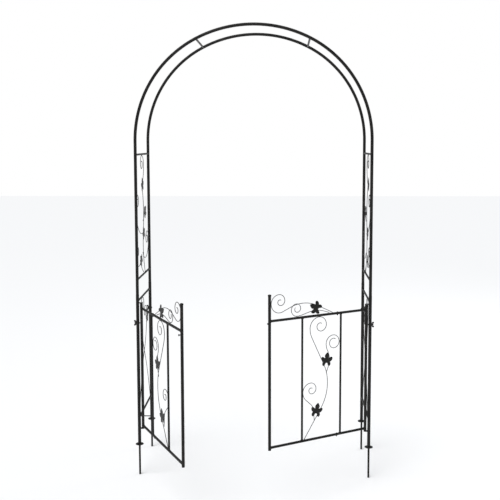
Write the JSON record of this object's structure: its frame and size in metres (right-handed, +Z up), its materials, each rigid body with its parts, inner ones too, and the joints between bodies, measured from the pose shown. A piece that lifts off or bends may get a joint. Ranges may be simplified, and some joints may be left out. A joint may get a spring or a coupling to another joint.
{
  "type": "garden trellis arch with gate",
  "caption": "Free-standing metal trellis arch on ground stakes, with vine-work side panels and a pair of low hinged gate leaves.",
  "frame": {"origin": "middle of the footprint at ground level: midway between the four posts, level with the undersides of the ground discs", "axes": "+Z up; X across the passage with +X to the right as seen from the gate side; the gates hang on the -Y side, which is the front"},
  "size_m": [1.19, 0.8725, 2.2445],
  "materials": {
    "powder_coat": "satin black powder coat over steel tube and wire",
    "hardware": "black-coated steel fasteners, a little smoother than the tubes"
  },
  "bodies": {
    "arch": {"lower_post_front_left": "powder_coat", "lower_post_front_right": "powder_coat", "lower_post_rear_left": "powder_coat", "lower_post_rear_right": "powder_coat", "upper_post_front_left": "powder_coat", "upper_post_front_right": "powder_coat", "upper_post_rear_left": "powder_coat", "upper_post_rear_right": "powder_coat", "arc_front_left": "powder_coat", "arc_front_right": "powder_coat", "arc_rear_left": "powder_coat", "arc_rear_right": "powder_coat", "crown_sleeves": "powder_coat", "crown_rung_left": "powder_coat", "crown_rung_right": "powder_coat", "lower_rungs_left": "powder_coat", "lower_rungs_right": "powder_coat", "upper_rungs_left": "powder_coat", "upper_rungs_right": "powder_coat", "stake_front_left": "powder_coat", "stake_front_right": "powder_coat", "stake_rear_left": "powder_coat", "stake_rear_right": "powder_coat", "ground_discs": "powder_coat", "lower_vine_left": "powder_coat", "lower_vine_right": "powder_coat", "upper_vine_left": "powder_coat", "upper_vine_right": "powder_coat", "side_leaves_left": "powder_coat", "side_leaves_right": "powder_coat", "post_bolts": "hardware", "wing_nuts": "hardware", "hinge_lugs_left": "hardware", "hinge_lugs_right": "hardware", "side_peg": "powder_coat"},
    "left_gate": {"left_hinge_post": "powder_coat", "left_meeting_post": "powder_coat", "left_post_cap": "powder_coat", "left_top_rail": "powder_coat", "left_bottom_rail": "powder_coat", "left_rail_stubs": "powder_coat", "left_gate_bars": "powder_coat", "left_gate_vine": "powder_coat", "left_gate_crest": "powder_coat", "left_gate_leaves": "powder_coat", "left_rail_bolts": "hardware", "left_latch_stud": "hardware"},
    "right_gate": {"right_hinge_post": "powder_coat", "right_meeting_post": "powder_coat", "right_post_cap": "powder_coat", "right_top_rail": "powder_coat", "right_bottom_rail": "powder_coat", "right_rail_stubs": "powder_coat", "right_gate_bars": "powder_coat", "right_gate_vine": "powder_coat", "right_gate_crest": "powder_coat", "right_gate_leaves": "powder_coat", "right_rail_bolts": "hardware", "right_latch_stud": "hardware"}
  },
  "joints": [
    {"name": "left_gate_hinge", "type": "hinge", "parent": "arch", "child": "left_gate", "pos_m": [-0.556, -0.183, 0.4], "axis": [0, 0, 1], "range_deg": [-54, 146]},
    {"name": "right_gate_hinge", "type": "hinge", "parent": "arch", "child": "right_gate", "pos_m": [0.556, -0.183, 0.4], "axis": [0, 0, 1], "range_deg": [-115, 85]}
  ]
}
